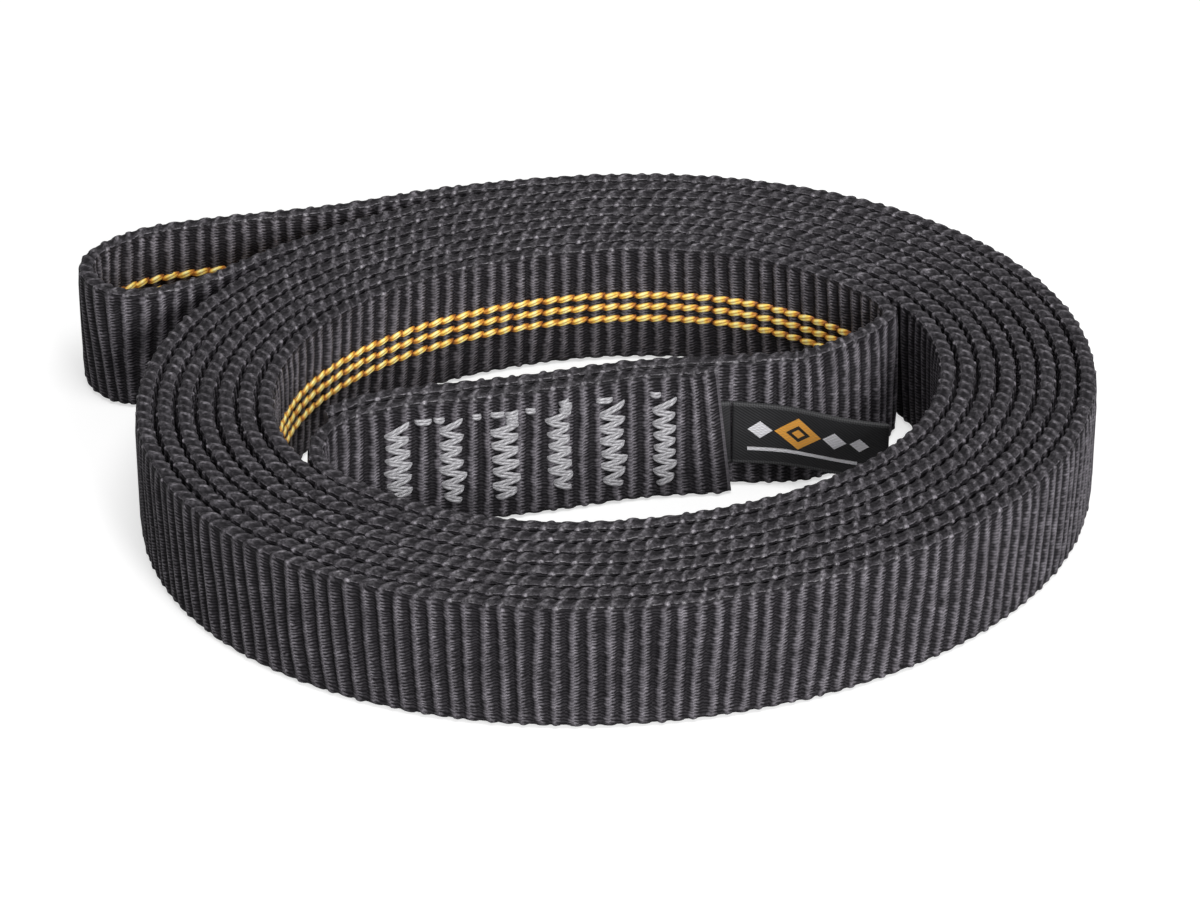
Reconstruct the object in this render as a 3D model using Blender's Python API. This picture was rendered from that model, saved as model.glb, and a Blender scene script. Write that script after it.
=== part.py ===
"""Climbing loop sling, coiled on edge.

One length of flat tubular webbing is lapped end to end and joined by six bar tacks. The loop is
pulled out into a doubled strand, P and Q, which is coiled on edge and ends in an open eye.
Metres, +Z up.
"""

import math

import bmesh
import bpy
import numpy as np
from mathutils import Vector

# Webbing
web_width = 0.0160
web_thickness = 0.00185
web_edge_cut = 0.0005
strand_gap = 0.00055

# Coil: the doubled strand winds outwards round a core that is a little oval
coil_turns = 4
core_radius = 0.0354
core_oval = 0.00324
core_oval_angle = math.radians(19)
stations_per_turn = 24
fine_step = 0.0027

# Eye that the doubled strand ends in, outside the coil
eye_reach = 0.0178

# The strand across the middle leans back on its lower edge
lap_lean = 0.0024
bight_lean = 0.0029

# Bar tacks: zigzag thread on both faces of the lap, with legs through needle holes
tack_count = 6
tack_inset = 0.0074
tack_pitch = 0.00645
tack_width = 0.0033
tack_notch = 0.0011
tack_bottom = 0.0022
tack_top_margin = 0.0013
tack_rows = 13
thread_leg = 0.0006
thread_height = 0.00045
seat_gap = 0.0003
cut_overrun = 0.0008

# Travel stitches: the thread's run from one tack to the next, near their tops
travel_drop = 0.0014
travel_width = 0.0006
travel_pinch = 0.0002

# Woven label, folded double, its cut ends sewn into the lap
label_thickness = 0.0005
label_top_margin = 0.0029
label_length = 0.0192
label_tab_length = 0.0092
label_turn = math.radians(23.5)
hinge_setback = 0.0006
pocket_reach = 0.0028

# Where each strand joins the next run of the route, in shares of a full turn
q_first_share = 0.5833
q_last_share = 0.375
p_first_share = 0.25
p_last_share = 0.0833

# Eye, from its outer strand round to its inner strand: shares of a full turn and of eye_reach
eye_route_shares = (
    (0.2917, 0.152),
    (0.3256, 0.202),
    (0.3539, 0.289),
    (0.3778, 0.506),
    (0.3964, 0.764),
    (0.4078, 0.924),
    (0.4169, 0.989),
    (0.4267, 1.000),
    (0.4364, 0.888),
    (0.4419, 0.725),
    (0.4444, 0.550),
    (0.4428, 0.388),
    (0.4331, 0.191),
    (0.4242, 0.095),
    (0.4106, 0.042),
)

# Lap's front layer, from its cut end to the coil's left side: shares of core_radius and lap_lean
lap_route_shares = (
    (0.404, -0.001, 1.0),
    (0.257, -0.014, 1.0),
    (0.110, -0.035, 1.0),
    (-0.093, -0.089, 1.0),
    (-0.288, -0.143, 1.0),
    (-0.554, -0.196, 0.95),
    (-0.686, -0.222, 0.85),
    (-0.814, -0.267, 0.65),
    (-0.907, -0.338, 0.3),
    (-0.958, -0.439, 0.0),
)

# Inner bight, from the coil's right side to the lap: shares of core_radius and bight_lean
bight_route_shares = (
    (0.976, 0.458, 0.05),
    (0.958, 0.373, 0.45),
    (0.859, 0.216, 0.9),
    (0.751, 0.126, 1.0),
    (0.661, 0.083, 1.0),
    (0.523, 0.069, 0.95),
)

# Label's free part, in equal steps from its root: share of label_turn that each step is turned
# forwards by, and share of lap_lean that is left at the step's end
label_flap_shares = (
    (0.3, 0.75),
    (0.4, 0.45),
    (0.85, 0.2),
    (1.0, 0.0),
    (0.95, 0.0),
    (0.8, 0.0),
)

half_thickness = web_thickness / 2
strand_pitch = web_thickness + strand_gap
lap_middle = -strand_pitch / 2
lap_length = 2 * tack_inset + (tack_count - 1) * tack_pitch
front_face = half_thickness
back_face = -strand_pitch - half_thickness
tack_top = web_width - tack_top_margin
label_bottom = tack_bottom + thread_leg + seat_gap
label_top = tack_top - thread_leg - seat_gap - label_top_margin


class Route:
    """A smooth plan curve through chosen points, with the webbing's lean along it."""

    def __init__(self, points, leans):
        self.points = np.array(points, float)
        self.leans = np.array(leans, float)
        spans = np.linalg.norm(np.diff(self.points, axis=0), axis=1)
        self.arcs = np.concatenate([[0], np.cumsum(spans)])
        self.bends = self.solve_bends(spans)

    def solve_bends(self, spans):
        """Second derivatives of the natural cubic through the points."""
        count = len(self.points)
        matrix = np.eye(count)
        right = np.zeros((count, 2))
        slopes = np.diff(self.points, axis=0) / spans[:, None]
        for i in range(1, count - 1):
            matrix[i, i - 1 : i + 2] = spans[i - 1], 2 * (spans[i - 1] + spans[i]), spans[i]
            right[i] = 6 * (slopes[i] - slopes[i - 1])
        return np.linalg.solve(matrix, right)

    def place(self, arc):
        """Plan point and unit direction at an arc length, straight on past either end."""
        inside = min(max(arc, 0), self.arcs[-1])
        i = min(np.searchsorted(self.arcs, inside, side="right"), len(self.arcs) - 1) - 1
        span = self.arcs[i + 1] - self.arcs[i]
        t = inside - self.arcs[i]
        (a, b), (u, v) = self.points[i : i + 2], self.bends[i : i + 2]
        slope = (b - a) / span - span * (2 * u + v) / 6
        point = a + t * (slope + t * (u / 2 + t * (v - u) / (6 * span)))
        direction = slope + t * (u + t * (v - u) / (2 * span))
        direction = direction / np.linalg.norm(direction)
        return point + direction * (arc - inside), direction

    def solid_point(self, arc, depth, height):
        """A point of the webbing: depth is to the left of the route, towards its plain face."""
        point, direction = self.place(arc)
        left = np.array([-direction[1], direction[0]])
        lean = np.interp(arc, self.arcs, self.leans) * height / web_width
        return Vector((*(point + left * (depth - lean)), height))


def strand_radius(turn):
    """Radius of strand P's centre line, a number of turns round from +X."""
    oval = core_oval * math.cos(2 * (turn * math.tau - core_oval_angle))
    return core_radius + oval + 2 * strand_pitch * turn


def polar(turn, radius):
    return radius * math.cos(turn * math.tau), radius * math.sin(turn * math.tau)


def coil_run(first, last, inset):
    """Points of a strand from one turn to another, at even angles that all strands share."""
    steps = round(abs(last - first) * stations_per_turn)
    return [polar(turn, strand_radius(turn) - inset) for turn in np.linspace(first, last, steps + 1)]


def eye_run():
    """Points of the eye, from the end of strand Q to the start of strand P."""
    run = []
    for share, out in reversed(eye_route_shares):
        turn = coil_turns + share
        run.append(polar(turn, strand_radius(turn) - strand_pitch + out * eye_reach))
    return run


def leaning_run(shares, lean):
    points = [(x * core_radius, y * core_radius) for x, y, _ in shares]
    return points, [share * lean for *_, share in shares]


def back_run(front, front_leans):
    """The lap's back layer, one strand behind the front layer, to its own cut end."""
    lap = Route(front, front_leans)
    arcs = [arc for arc in lap.arcs if arc < lap_length - fine_step] + [lap_length]
    points = [lap.solid_point(arc, -strand_pitch, 0)[:2] for arc in arcs]
    return points, np.interp(arcs, lap.arcs, lap.leans)


def webbing_route():
    """The whole webbing, and the arc lengths of the sections that its solid has."""
    front, front_leans = leaning_run(lap_route_shares, lap_lean)
    bight, bight_leans = leaning_run(bight_route_shares, bight_lean)
    back, back_leans = back_run(front, front_leans)
    q_strand = coil_run(q_first_share, coil_turns + q_last_share, strand_pitch)
    p_strand = coil_run(coil_turns + p_first_share, p_last_share, 0)
    eye = eye_run()
    points = [*front, *q_strand, *eye, *p_strand, *bight, *back]
    leans = [*front_leans, *np.zeros(len(q_strand + eye + p_strand)), *bight_leans, *back_leans]
    route = Route(points, leans)

    q_start = len(front)
    p_start = q_start + len(q_strand + eye)
    coiled = {*range(q_start, q_start + len(q_strand) - 1), *range(p_start, p_start + len(p_strand) - 1)}
    arcs = []
    for i, (start, end) in enumerate(zip(route.arcs, route.arcs[1:])):
        pieces = 1 if i in coiled else math.ceil((end - start) / fine_step)
        arcs.extend(np.linspace(start, end, pieces, endpoint=False))
    arcs.append(route.arcs[-1])
    return route, arcs


def centred(route, arcs):
    """The same route, moved so that the sling's bounding box is centred on the origin."""
    sides = (-half_thickness, half_thickness)
    plan = np.array([route.solid_point(arc, side, 0)[:2] for arc in arcs for side in sides])
    return Route(route.points - (plan.min(axis=0) + plan.max(axis=0)) / 2, route.leans)


def least_gap(route, arcs):
    """The least clear distance between two stretches of the webbing, measured on its sections."""
    apart = 4 * strand_pitch
    samples = 4
    least = math.inf
    along = np.array(arcs)
    for height in (0, web_width):
        line = np.array([route.solid_point(arc, 0, height)[:2] for arc in arcs])
        starts, steps = line[:-1], np.diff(line, axis=0)
        for i, (start, step) in enumerate(zip(starts, steps)):
            far = (along[:-1] > along[i + 1] + apart) | (along[1:] < along[i] - apart)
            offsets = start + np.arange(samples)[:, None, None] / samples * step - starts[far]
            squares = (steps[far] ** 2).sum(axis=1)
            share = np.clip((offsets * steps[far]).sum(axis=2) / squares, 0, 1)
            distances = np.linalg.norm(offsets - share[..., None] * steps[far], axis=2)
            least = min(least, distances.min())
    return least - web_thickness


def material(name, color, roughness):
    made = bpy.data.materials.new(name)
    made.use_nodes = True
    surface = made.node_tree.nodes["Principled BSDF"]
    surface.inputs["Base Color"].default_value = (*color, 1)
    surface.inputs["Roughness"].default_value = roughness
    surface.inputs["Metallic"].default_value = 0
    return made


def add_object(name, mesh, finish=None):
    bmesh.ops.recalc_face_normals(mesh, faces=mesh.faces)
    data = bpy.data.meshes.new(name)
    mesh.to_mesh(data)
    mesh.free()
    made = bpy.data.objects.new(name, data)
    bpy.context.collection.objects.link(made)
    if finish is not None:
        data.materials.append(finish)
    return made


def cut_with(target, cutter):
    cutter.hide_render = True
    cutter.display_type = "WIRE"
    target.modifiers.new(cutter.name, "BOOLEAN").object = cutter


def sweep(sections, mesh=None):
    """A closed solid through sections that all have the same number of points."""
    mesh = mesh or bmesh.new()
    first = end = mesh.faces.new([mesh.verts.new(point) for point in sections[0]])
    for section in sections[1:]:
        grown = bmesh.ops.extrude_face_region(mesh, geom=[end])["geom"]
        if end is not first:
            bmesh.ops.delete(mesh, geom=[end], context="FACES_ONLY")
        end = next(item for item in grown if isinstance(item, bmesh.types.BMFace))
        for vert, point in zip(end.verts, section):
            vert.co = point
    return mesh


def block(route, arcs, depths, heights, mesh=None):
    """A solid that follows the route, between two depths and two heights."""
    (near, far), (low, high) = depths, heights
    corners = ((near, low), (far, low), (far, high), (near, high))
    return sweep([[route.solid_point(arc, *corner) for corner in corners] for arc in arcs], mesh)


def make_webbing(route, arcs, finish):
    side, top, cut = half_thickness, web_width, web_edge_cut
    upper = ((-side, cut), (-side, top - cut), (cut - side, top), (side - cut, top))
    lower = ((side, top - cut), (side, cut), (side - cut, 0), (cut - side, 0))
    outline = upper + lower
    mesh = sweep([[route.solid_point(arc, *point) for point in outline] for arc in arcs])
    return add_object("webbing_loop", mesh, finish)


def tack_arc(number):
    return tack_inset + number * tack_pitch


def make_tack(name, route, arc, face, outwards, finish):
    """One face of a bar tack: a toothed band of thread, with a leg into the webbing at each end."""
    inner = face + outwards * seat_gap
    outer = inner + outwards * thread_height
    leg_end = lap_middle + outwards * seat_gap / 2
    leg = thread_leg / 2

    def section(start, end, first, second):
        """Four points: the first depth and height at both sides, then the second."""
        sides = ((start, first), (end, first), (end, second), (start, second))
        return [route.solid_point(arc + across, *place) for across, place in sides]

    def leg_sections(end, turned):
        tip = section(-leg, leg, (leg_end, end), (leg_end, turned))
        corner = section(-leg, leg, (outer, end), (inner, turned))
        return [tip, corner]

    low = tack_bottom + thread_leg
    high = tack_top - thread_leg
    rows = []
    for row, height in enumerate(np.linspace(low + thread_leg, high - thread_leg, tack_rows)):
        start = tack_notch * (row % 2) - tack_width / 2
        rows.append(section(start, start + tack_width - tack_notch, (outer, height), (inner, height)))
    sections = leg_sections(tack_bottom, low) + rows + leg_sections(tack_top, high)[::-1]
    return add_object(name, sweep(sections), finish)


def make_travel_stitch(name, route, number, finish):
    """The thread's run between two tacks, thinnest halfway, where it sinks into the webbing."""
    reach = tack_width / 2 + seat_gap
    start = tack_arc(number) + reach
    end = tack_arc(number + 1) - reach
    middle_height = tack_top - travel_drop
    inner = front_face + seat_gap
    sections = []
    for arc, pinch in ((start, 0), ((start + end) / 2, travel_pinch), (end, 0)):
        low, high = middle_height - travel_width / 2 + pinch / 2, middle_height + travel_width / 2 - pinch / 2
        outer = inner + thread_height - pinch
        corners = ((inner, low), (outer, low), (outer, high), (inner, high))
        sections.append([route.solid_point(arc, *corner) for corner in corners])
    return add_object(name, sweep(sections), finish)


def make_needle_holes(route):
    """Cutter for the holes that both legs of every tack pass through."""
    reach = thread_leg / 2 + seat_gap
    depths = (front_face + cut_overrun, back_face - cut_overrun)
    mesh = bmesh.new()
    for number in range(tack_count):
        arcs = (tack_arc(number) - reach, tack_arc(number) + reach)
        for end in (tack_bottom, tack_top - thread_leg):
            block(route, arcs, depths, (end - seat_gap, end + thread_leg + seat_gap), mesh)
    return add_object("needle_holes", mesh)


def make_label_pocket(route):
    """Cutter that gives the label its room between the lap's layers."""
    reach = label_thickness / 2 + seat_gap
    steps = math.ceil(label_tab_length / fine_step)
    arcs = [-pocket_reach, *np.linspace(0, label_tab_length + seat_gap, steps)]
    depths = (lap_middle + reach, lap_middle - reach)
    mesh = block(route, arcs, depths, (label_bottom - seat_gap, label_top + seat_gap))
    return add_object("label_pocket", mesh)


def make_label_tab(route, finish):
    """The sewn-in end of the label, which the first tack holds."""
    steps = math.ceil(label_tab_length / fine_step)
    arcs = np.linspace(seat_gap - hinge_setback, label_tab_length, steps)
    depths = (lap_middle + label_thickness / 2, lap_middle - label_thickness / 2)
    return add_object("label_tab", block(route, arcs, depths, (label_bottom, label_top)), finish)


def make_label_flap(route, finish):
    """The free end of the label, parented to an empty on the line where it bends."""
    foot, head = (route.solid_point(-hinge_setback, lap_middle, height) for height in (0, web_width))
    hinge = bpy.data.objects.new("label_hinge", None)
    hinge.location = foot
    bpy.context.collection.objects.link(hinge)

    _, lap_direction = route.place(0)
    start = math.atan2(-lap_direction[1], -lap_direction[0])
    step = label_length / len(label_flap_shares)
    points = [(0, 0)]
    leans = [-lap_lean]
    for turn_share, lean_share in label_flap_shares:
        heading = start - turn_share * label_turn
        x, y = points[-1]
        points.append((x + step * math.cos(heading), y + step * math.sin(heading)))
        leans.append(-lean_share * lap_lean)
    flap = Route(points, leans)
    arcs = [seat_gap, *flap.arcs[1:]]
    depths = (-label_thickness / 2, label_thickness / 2)
    made = add_object("label_flap", block(flap, arcs, depths, (label_bottom, label_top)), finish)
    made.parent = hinge
    print("label hinge:", *foot, "axis:", *(head - foot).normalized())
    return made


def main():
    for item in list(bpy.data.objects):
        bpy.data.objects.remove(item)
    black_webbing = material("black_webbing", (0.028, 0.028, 0.030), 0.75)
    grey_thread = material("grey_thread", (0.36, 0.37, 0.40), 0.6)
    black_label = material("black_label", (0.02, 0.02, 0.022), 0.7)

    route, arcs = webbing_route()
    route = centred(route, arcs)
    webbing = make_webbing(route, arcs, black_webbing)
    cut_with(webbing, make_needle_holes(route))
    cut_with(webbing, make_label_pocket(route))
    for number in range(tack_count):
        arc = tack_arc(number)
        make_tack(f"needle_tack_{number + 1}", route, arc, front_face, 1, grey_thread)
        make_tack(f"bobbin_tack_{number + 1}", route, arc, back_face, -1, grey_thread)
    for number in range(tack_count - 1):
        make_travel_stitch(f"travel_stitch_{number + 1}", route, number, grey_thread)
    make_label_tab(route, black_label)
    make_label_flap(route, black_label)
    print("webbing length:", route.arcs[-1], "sections:", len(arcs))
    print("least gap of the webbing to itself:", least_gap(route, arcs))


main()
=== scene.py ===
"""Climbing loop sling, coiled on edge: the weave, the sewing and the label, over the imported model.

Lengths are in metres. A place on the webbing is an arc along its route, a depth to the left and a height.
"""

import math

import bmesh
import bpy
import numpy as np
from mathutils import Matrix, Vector


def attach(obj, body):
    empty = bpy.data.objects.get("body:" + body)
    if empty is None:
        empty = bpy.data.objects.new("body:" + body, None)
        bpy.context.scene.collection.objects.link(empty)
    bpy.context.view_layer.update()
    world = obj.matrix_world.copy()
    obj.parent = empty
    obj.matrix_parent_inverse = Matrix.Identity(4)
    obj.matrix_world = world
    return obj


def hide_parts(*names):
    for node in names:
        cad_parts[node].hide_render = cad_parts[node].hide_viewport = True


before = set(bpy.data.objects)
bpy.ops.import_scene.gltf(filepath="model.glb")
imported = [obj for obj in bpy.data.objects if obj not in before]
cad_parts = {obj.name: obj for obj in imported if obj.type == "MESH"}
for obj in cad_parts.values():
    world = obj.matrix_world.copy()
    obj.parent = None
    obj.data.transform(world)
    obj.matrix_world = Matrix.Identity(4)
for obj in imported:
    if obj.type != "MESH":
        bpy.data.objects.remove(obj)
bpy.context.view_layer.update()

# Webbing and its route, as in the part's source. Each point of the eye is a turn and a reach, and each point
# of the lap and of the inner bight is an x, a y and a lean
web_width = 0.0160
web_thickness = 0.00185
strand_gap = 0.00055
coil_turns = 4
core_radius = 0.0354
core_oval = 0.00324
core_oval_angle = math.radians(19)
stations_per_turn = 24
fine_step = 0.0027
eye_reach = 0.0178
lap_lean = 0.0024
bight_lean = 0.0029
q_first_share = 0.5833
q_last_share = 0.375
p_first_share = 0.25
p_last_share = 0.0833
eye_route_shares = (
    (0.2917, 0.152),
    (0.3256, 0.202),
    (0.3539, 0.289),
    (0.3778, 0.506),
    (0.3964, 0.764),
    (0.4078, 0.924),
    (0.4169, 0.989),
    (0.4267, 1.000),
    (0.4364, 0.888),
    (0.4419, 0.725),
    (0.4444, 0.550),
    (0.4428, 0.388),
    (0.4331, 0.191),
    (0.4242, 0.095),
    (0.4106, 0.042),
)
lap_route_shares = (
    (0.404, -0.001, 1.0),
    (0.257, -0.014, 1.0),
    (0.110, -0.035, 1.0),
    (-0.093, -0.089, 1.0),
    (-0.288, -0.143, 1.0),
    (-0.554, -0.196, 0.95),
    (-0.686, -0.222, 0.85),
    (-0.814, -0.267, 0.65),
    (-0.907, -0.338, 0.3),
    (-0.958, -0.439, 0.0),
)
bight_route_shares = (
    (0.976, 0.458, 0.05),
    (0.958, 0.373, 0.45),
    (0.859, 0.216, 0.9),
    (0.751, 0.126, 1.0),
    (0.661, 0.083, 1.0),
    (0.523, 0.069, 0.95),
)

# Bar tacks, travel stitches and label, as in the part's source. Each step of the label's free part is a turn
# and a lean
tack_count = 6
tack_inset = 0.0074
tack_pitch = 0.00645
tack_bottom = 0.0022
tack_top = web_width - 0.0013
travel_drop = 0.0014
label_thickness = 0.0005
label_length = 0.0192
label_tab_length = 0.0092
label_turn = math.radians(23.5)
label_bottom = 0.0031
label_top = 0.0109
hinge_setback = 0.0006
label_flap_shares = (
    (0.3, 0.75),
    (0.4, 0.45),
    (0.85, 0.2),
    (1.0, 0.0),
    (0.95, 0.0),
    (0.8, 0.0),
)

strand_pitch = web_thickness + strand_gap
lap_middle = -strand_pitch / 2
lap_length = 2 * tack_inset + (tack_count - 1) * tack_pitch

# Ribs of the webbing
rib_count = 1280
rib_stations = 10
web_pieces = 5
ring_points = 36
ring_quarter = 9
face_steps = 4
groove_depth = 0.00072
rib_height = 0.00043
rib_half_share = 0.37
rib_sharpness = 2.2
rib_fullness = 0.6
rib_fall = (0.0055, 0.0072)
rib_fall_share = 0.45
rib_swell_share = 0.12
rib_wobble_share = 0.035
rib_wobble_waves = (5, 8)
drag_share = 1.25
drag_power = 1.4
drag_waves = ((0.117, 2.1), (0.052, 4.0))
drag_range = (0.8, 1.2)

# Edges of the webbing. A place on them is its distance from the edge's middle line
edge_rise = 0.0008
edge_rib_height = 0.00029
edge_fullness = 0.0001
edge_power = 0.75
edge_swell = 0.0002
edge_swell_ends = (0.0009, 0.0016)
edge_swell_power = 0.62
edge_slant_share = 0.5
edge_ends = (0.0010, 0.0013)
nudge_ends = (0.0008, 0.0013)
nudge_along_share = 0.09
nudge_across = 0.00009
knob_half = 0.00062
knob_half_share = 0.38
knob_rise_share = 0.9
loop_half = 0.0005
loop_half_share = 0.24
loop_rise_share = 0.7
shoulder = 0.0007
lobe_half = 0.00032
lobe_half_share = 0.22
odd_lobe_share = 0.6
valley_share = 0.12

edge_quarter = math.pi / 4 * (edge_rise + groove_depth)
face_half = web_width / 2 - edge_rise - edge_rib_height + edge_fullness
girth_length = 2 * (edge_quarter + face_half)

# The webbing's cut ends, and what the tacks and the label press in
cut_slant = 0.0017
cut_slant_pivot_share = 0.3
cut_slant_length = 0.007
cut_round = (0.0001, 0.0006)
cut_thin_share = 0.4
cut_flat_share = 0.75
cut_dark_share = 0.6
cut_face_share = 0.1
press_half = 0.0020
press_foot = (-0.0012, 0.0004)
press_head = (-0.0004, 0.0010)
tack_press_share = 0.35
label_press_share = 0.85
label_room_fade = 0.0015
back_room = (-0.004, -0.001)

# Yarns on the ribs
yarn_pitch = 0.0004
yarn_reach_share = 0.40
ragged_loss_share = 0.03
odd_loss_share = 0.14
tip_sharpness = 7
ragged_from_share = 0.03
ragged_sharpness = 12
# Where the painted highlight line lies across each rib, and its half width
highlight_place_share = 0.06
highlight_half_share = 0.11

# Yarns on the edges, by distance from the edge's middle line, with their painted glints and the painted shade
# of slots and pits
edge_zone = 0.00105
edge_blur = 0.00025
glint_half = 0.00028
glint_half_share = 0.17
lobe_light_half = 0.00028
lobe_light_half_share = 0.2
gap_from_share = 0.22
line_place = shoulder - 0.00012
line_half = 0.00007
shaded_slot_place = shoulder + 0.00008
shaded_slot_half = 0.00011
shaded_seam_half = 0.00016
shaded_seam_from_share = 0.16

# Threads. Each float of a travel stitch runs from one arc to another
thread_radius = 0.00022
thread_flat_share = 0.9
thread_seat = 0.0013
thread_twist = 0.0011
thread_shift = 0.002
thread_taper = 0.7
stroke_points = 11
thread_sides = 8
tack_halves = (0.00140, 0.00162, 0.00145, 0.00175, 0.00145, 0.00155)
tack_shifts = (0.0002, 0.0002, 0.0002, 0.0005, 0.0005, 0.0005)
stitch_tops = (0.0126, 0.0128, 0.0140, 0.0134, 0.0131, 0.0134)
stitch_bottoms = (0.0022, 0.0026, 0.0031, 0.0029, 0.0029, 0.0026)
stroke_drop = 0.000785
stroke_dip = 0.00055
first_stroke_drop = 0.00125
drop_scatter = 0.00008
reach_scatter = 0.00013
last_reach_share = 0.75
blocked_tacks = (2, 3)
block_drops = (0.00036, 0.00036, 0.00036, 0.00036, 0.00090)
block_reach_share = -0.15
travel_floats = (
    ((0.0080, 0.0092),),
    ((0.0137, 0.0158),),
    ((0.0233, 0.0245),),
    ((0.0271, 0.0289), (0.0300, 0.0311)),
    ((0.0344, 0.0356), (0.0359, 0.0379)),
)
travel_half = thread_radius * 0.8
travel_rise = 0.0001
travel_sink = 0.00012
travel_depth = groove_depth - 0.0003
travel_sway = 0.00008
travel_sway_length = 0.0011

# Tracer yarns
tracer_heights = (0.0092, 0.0076, 0.0059)
tracer_sides = 6
tracer_length = 0.0027
tracer_width = 0.00092
tracer_thickness = 0.00050
tracer_tilt = math.radians(11)
tracer_lift = 0.00002
tracer_dip = 0.0003
tracer_cut_loss_share = 0.6

# Label's tape and its woven row of lozenges
label_sides = 28
label_clearance = 0.00003
label_edge_power = 0.55
label_edge_sharpness = 6
label_groove_share = 0.05
label_closing = (0, 0.00003, 0.00007, 0.00012)
label_seam = 0.00012
label_fold = 0.0004
label_thin_share = 0.15
flap_start = 0.0003
flap_stations = 48
tab_start = 0.0002
tab_stations = 12
tab_cloth_start = -0.03
twill_pitch = 0.00036
weft_pitch = 0.0003
warp_pitch = 0.00022
selvedge = 0.00045
motif_place = 0.0080
motif_lift = 0.0006
big_lozenge = (0.0029, 0.0021)
middle_lozenge = (0.0015, 0.0011)
small_lozenge = (0.0012, 0.0009)
middle_step = 0.0046
small_step = 0.0077
line_drop = 0.0019
line_half_height = 0.00022
line_middle = 0.0087
line_half_length = 0.0068

# Light: each lamp's name, place, size and power, then the room and the floor
lamps = (
    ("overhead_softbox", (0.12, -0.2, 0.9), 0.5, 4.6),
    ("side_softbox", (0.38, -0.80, 0.38), 0.3, 6.0),
)
room_strength = 0.28
floor_drop = 0.00015
floor_glow = 0.62
floor_seen_grey = 0.55
floor_lit_grey = 0.35

# The photograph's view
view_elevation = math.radians(30)
view_distance = 0.565
view_aim = Vector((0.0029, 0.00875, 0))
view_lens = 138

# Copies in one mesh, before they are put in place
copy_spacing = 4

chance = np.random.default_rng(7)


class Route:
    """A smooth plan curve through chosen points, with the webbing's lean along it."""

    def __init__(self, points, leans):
        self.points = np.array(points, float)
        self.leans = np.array(leans, float)
        spans = np.linalg.norm(np.diff(self.points, axis=0), axis=1)
        self.arcs = np.concatenate([[0], np.cumsum(spans)])
        self.bends = self.solve_bends(spans)

    def solve_bends(self, spans):
        """Second derivatives of the natural cubic through the points."""
        count = len(self.points)
        matrix = np.eye(count)
        right = np.zeros((count, 2))
        slopes = np.diff(self.points, axis=0) / spans[:, None]
        for i in range(1, count - 1):
            matrix[i, i - 1 : i + 2] = spans[i - 1], 2 * (spans[i - 1] + spans[i]), spans[i]
            right[i] = 6 * (slopes[i] - slopes[i - 1])
        return np.linalg.solve(matrix, right)

    def place(self, arcs):
        """Plan points and unit directions at arc lengths, straight on past either end."""
        inside = np.clip(arcs, 0, self.arcs[-1])
        i = np.clip(np.searchsorted(self.arcs, inside, side="right"), 1, len(self.arcs) - 1) - 1
        span = (self.arcs[i + 1] - self.arcs[i])[..., None]
        t = (inside - self.arcs[i])[..., None]
        a, b, u, v = self.points[i], self.points[i + 1], self.bends[i], self.bends[i + 1]
        slope = (b - a) / span - span * (2 * u + v) / 6
        points = a + t * (slope + t * (u / 2 + t * (v - u) / (6 * span)))
        directions = slope + t * (u + t * (v - u) / (2 * span))
        directions = directions / np.linalg.norm(directions, axis=-1, keepdims=True)
        return points + directions * (arcs - inside)[..., None], directions

    def solid_points(self, arcs, depths, heights):
        """Points of the webbing: depth is to the left of the route, towards its plain face."""
        arcs, depths, heights = np.broadcast_arrays(arcs, depths, heights)
        points, directions = self.place(arcs)
        left = np.stack([-directions[..., 1], directions[..., 0]], axis=-1)
        lean = np.interp(arcs, self.arcs, self.leans) * heights / web_width
        plan = points + left * (depths - lean)[..., None]
        return np.concatenate([plan, heights[..., None]], axis=-1)


def strand_radius(turn):
    """Radius of strand P's centre line, a number of turns round from +X."""
    oval = core_oval * math.cos(2 * (turn * math.tau - core_oval_angle))
    return core_radius + oval + 2 * strand_pitch * turn


def polar(turn, radius):
    """Plan point at a number of turns round from +X."""
    return radius * math.cos(turn * math.tau), radius * math.sin(turn * math.tau)


def coil_run(first, last, inset):
    """Points of one strand of the coil, an inset inside strand P."""
    steps = round(abs(last - first) * stations_per_turn)
    return [polar(turn, strand_radius(turn) - inset) for turn in np.linspace(first, last, steps + 1)]


def eye_run():
    """Points of the open eye, from strand Q to strand P."""
    run = []
    for share, out in reversed(eye_route_shares):
        turn = coil_turns + share
        run.append(polar(turn, strand_radius(turn) - strand_pitch + out * eye_reach))
    return run


def leaning_run(shares, lean):
    """Points given in shares of the core's radius, and the webbing's lean at each."""
    points = [(x * core_radius, y * core_radius) for x, y, _ in shares]
    return points, [share * lean for *_, share in shares]


def back_run(front, front_leans):
    """The lap's back layer, one strand behind the front layer, to its own cut end."""
    lap = Route(front, front_leans)
    arcs = np.array([arc for arc in lap.arcs if arc < lap_length - fine_step] + [lap_length])
    points = lap.solid_points(arcs, -strand_pitch, 0.0)[:, :2]
    return points, np.interp(arcs, lap.arcs, lap.leans)


def webbing_route():
    """The whole webbing's route, centred as in the part's source, and where the lap's back layer starts."""
    front, front_leans = leaning_run(lap_route_shares, lap_lean)
    bight, bight_leans = leaning_run(bight_route_shares, bight_lean)
    back, back_leans = back_run(front, front_leans)
    q_strand = coil_run(q_first_share, coil_turns + q_last_share, strand_pitch)
    p_strand = coil_run(coil_turns + p_first_share, p_last_share, 0)
    eye = eye_run()
    points = [*front, *q_strand, *eye, *p_strand, *bight, *back]
    leans = [*front_leans, *np.zeros(len(q_strand + eye + p_strand)), *bight_leans, *back_leans]
    route = Route(points, leans)
    middle = route_middle(route, len(front), len(q_strand + eye))
    return Route(route.points - middle, route.leans), route.arcs[-len(back)]


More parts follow.
